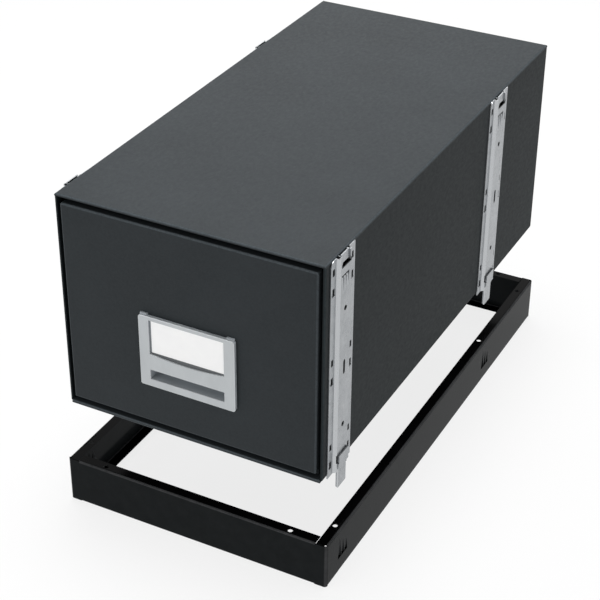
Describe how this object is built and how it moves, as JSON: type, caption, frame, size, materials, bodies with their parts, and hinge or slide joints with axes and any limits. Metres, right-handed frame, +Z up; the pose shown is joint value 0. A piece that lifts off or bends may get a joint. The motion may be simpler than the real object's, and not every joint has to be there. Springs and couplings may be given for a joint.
{
  "type": "archival box",
  "caption": "Archival file box: board drawer in a corrugated sleeve with steel uprights and hook tongues, over a black sheet-steel plinth frame.",
  "frame": {"origin": "on the floor at the middle of the plinth frame's outline", "axes": "+X to the right seen from the front, +Y from the drawer front to the back, +Z up"},
  "size_m": [0.356, 0.6708, 0.431],
  "materials": {
    "plinth_paint": "gloss black powder coat",
    "sleeve_board": "matte charcoal printed board",
    "inner_board": "matte dark board",
    "drawer_board": "matte charcoal printed board",
    "galvanised_steel": "satin galvanised",
    "silver_plastic": "satin silver-grey",
    "grey_plastic": "satin dark grey",
    "white_card": "matte white"
  },
  "bodies": {
    "plinth": {"plinth_front": "plinth_paint", "plinth_rear": "plinth_paint", "plinth_right": "plinth_paint", "plinth_left": "plinth_paint"},
    "case": {"sleeve_top": "sleeve_board", "sleeve_bottom": "sleeve_board", "sleeve_right": "sleeve_board", "sleeve_left": "sleeve_board", "sleeve_back": "sleeve_board", "liner_right": "inner_board", "liner_left": "inner_board", "upright_front_right": "galvanised_steel", "upright_front_left": "galvanised_steel", "upright_rear_right": "galvanised_steel", "upright_rear_left": "galvanised_steel", "tongue_front_right": "galvanised_steel", "tongue_front_left": "galvanised_steel", "tongue_rear_right": "galvanised_steel", "tongue_rear_left": "galvanised_steel"},
    "drawer": {"drawer_front": "drawer_board", "drawer_side_right": "inner_board", "drawer_side_left": "inner_board", "drawer_back": "inner_board", "drawer_floor": "inner_board", "holder_face": "silver_plastic", "holder_body": "grey_plastic", "holder_back_plate": "grey_plastic", "holder_pins": "grey_plastic"},
    "card": {"label_card": "white_card"}
  },
  "joints": [
    {"name": "case_lift", "type": "slide", "parent": "plinth", "child": "case", "axis": [0, 0, 1], "range_m": [-0.0858, 0.06]},
    {"name": "drawer_slide", "type": "slide", "parent": "case", "child": "drawer", "axis": [0, -1, 0], "range_m": [0, 0.5]},
    {"name": "card_slide", "type": "slide", "parent": "drawer", "child": "card", "axis": [0, 0, 1], "range_m": [0, 0.045]}
  ]
}
